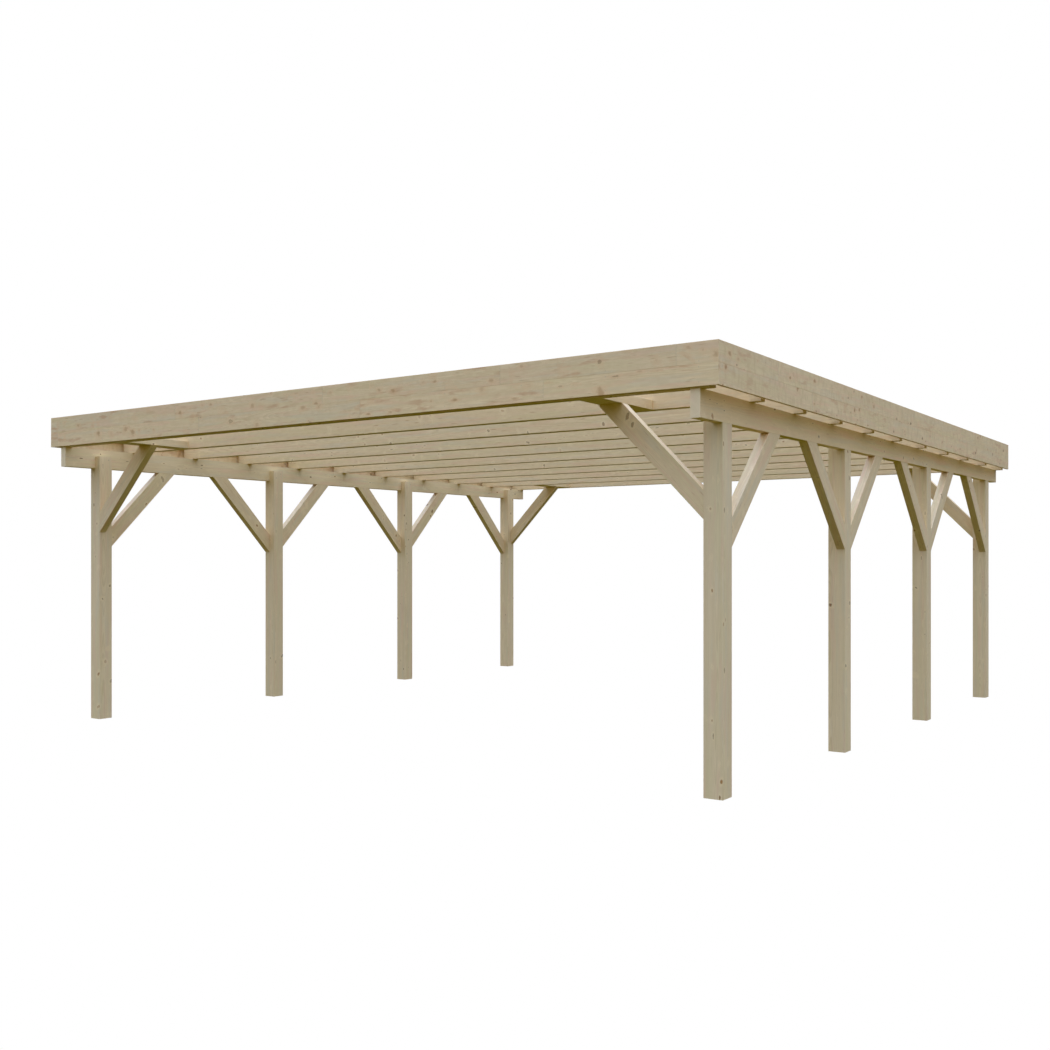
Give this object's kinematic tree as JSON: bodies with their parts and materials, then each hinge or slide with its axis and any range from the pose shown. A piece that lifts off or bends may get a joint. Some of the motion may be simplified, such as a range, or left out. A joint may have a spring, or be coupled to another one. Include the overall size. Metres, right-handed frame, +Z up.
{
  "type": "carport",
  "caption": "Open timber carport with a flat roof frame: square posts, knee braces, tapered purlins, rafters and a board fascia round the front and both sides.",
  "frame": {"origin": "on the ground, under the middle of the roof", "axes": "+Z up, +Y from the drive-in end to the rear, +X to the right as seen from the drive-in end"},
  "size_m": [6.084, 6.5774, 2.5231],
  "materials": {
    "planed_timber": "planed, pressure treated, pale green-beige",
    "sawn_timber": "sawn, pressure treated",
    "fascia_board": "planed, pressure treated, pale green-beige",
    "coated_screw": "steel with a tan coat, satin"
  },
  "bodies": {
    "root": {"post_left_1": "planed_timber", "post_left_2": "planed_timber", "post_left_3": "planed_timber", "post_left_4": "planed_timber", "post_right_1": "planed_timber", "post_right_2": "planed_timber", "post_right_3": "planed_timber", "post_right_4": "planed_timber", "purlin_left": "planed_timber", "purlin_right": "planed_timber", "rafter_01": "planed_timber", "rafter_02": "planed_timber", "rafter_03": "planed_timber", "rafter_04": "planed_timber", "rafter_05": "planed_timber", "rafter_06": "planed_timber", "rafter_07": "planed_timber", "rafter_08": "planed_timber", "rafter_09": "planed_timber", "rafter_10": "planed_timber", "rafter_11": "planed_timber", "noggin_front_left": "planed_timber", "noggin_front_right": "planed_timber", "noggin_rear_left": "planed_timber", "noggin_rear_right": "planed_timber", "side_brace_left_1_rear": "planed_timber", "side_brace_left_2_front": "planed_timber", "side_brace_left_2_rear": "planed_timber", "side_brace_left_3_front": "planed_timber", "side_brace_left_3_rear": "planed_timber", "side_brace_left_4_front": "planed_timber", "side_brace_right_1_rear": "planed_timber", "side_brace_right_2_front": "planed_timber", "side_brace_right_2_rear": "planed_timber", "side_brace_right_3_front": "planed_timber", "side_brace_right_3_rear": "planed_timber", "side_brace_right_4_front": "planed_timber", "cross_brace_front_left": "planed_timber", "cross_brace_front_right": "planed_timber", "cross_brace_rear_left": "planed_timber", "cross_brace_rear_right": "planed_timber", "batten_left": "sawn_timber", "batten_right": "sawn_timber", "fascia_front_lower": "fascia_board", "fascia_front_upper": "fascia_board", "fascia_left_lower": "fascia_board", "fascia_left_upper": "fascia_board", "fascia_right_lower": "fascia_board", "fascia_right_upper": "fascia_board"}
  },
  "joints": []
}
